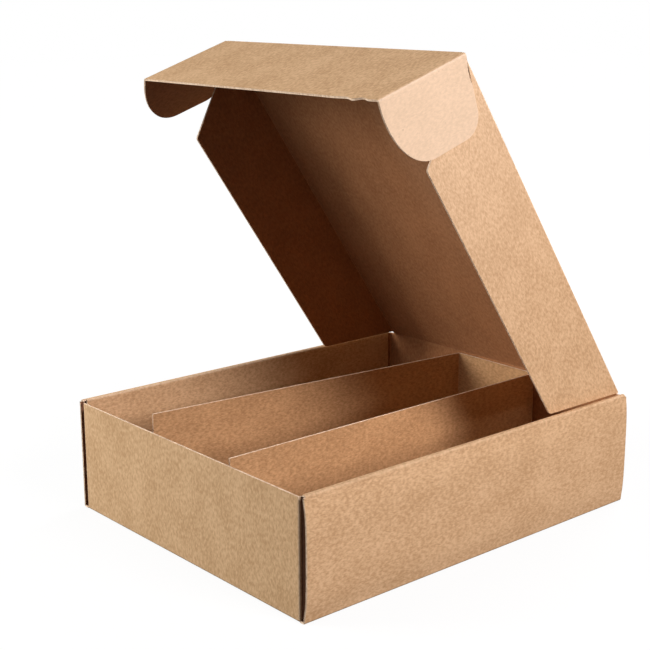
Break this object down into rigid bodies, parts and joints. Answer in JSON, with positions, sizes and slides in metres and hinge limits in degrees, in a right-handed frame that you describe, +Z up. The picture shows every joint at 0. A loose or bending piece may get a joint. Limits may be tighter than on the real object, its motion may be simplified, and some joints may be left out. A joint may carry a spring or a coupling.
{
  "type": "bottle shipping box",
  "caption": "Flat corrugated shipping box for bottles, with a hinged tuck-flap lid standing half open and an upright divider insert.",
  "frame": {"origin": "middle of the tray's underside", "axes": "+Z up, +X to the right seen from the front, -Y towards the front wall that the tuck flap goes behind"},
  "size_m": [0.3122, 0.345, 0.3735],
  "materials": {
    "kraft_board": "uncoated brown kraft liner, matt, with fine fibre specks",
    "divider_board": "uncoated brown board, matt, slightly redder than the box"
  },
  "bodies": {
    "tray": {"base_tray": "kraft_board", "divider_insert": "divider_board"},
    "lid": {"lid": "kraft_board"},
    "tuck_flap": {"tuck_flap": "kraft_board"},
    "left_ear": {"left_ear": "kraft_board"}
  },
  "joints": [
    {"name": "lid_hinge", "type": "hinge", "parent": "tray", "child": "lid", "pos_m": [0, 0.17175, 0.09175], "axis": [-1, 0, 0], "range_deg": [-55.5, 124.5], "deforming": ["left_ear"]},
    {"name": "tuck_flap_fold", "type": "hinge", "parent": "lid", "child": "tuck_flap", "pos_m": [0, -0.02139, 0.37278], "axis": [-1, 0, 0], "range_deg": [-31.5, 70.5]},
    {"name": "left_ear_fold", "type": "hinge", "parent": "tuck_flap", "child": "left_ear", "pos_m": [-0.13595, -0.02139, 0.37278], "axis": [0, 0.9472, 0.3206], "range_deg": [-33.5, 75]}
  ],
  "couplings": [
    {"joint": "tuck_flap_fold", "follows": "lid_hinge", "ratio": 0.56},
    {"joint": "left_ear_fold", "follows": "lid_hinge", "ratio": 0.59459}
  ]
}
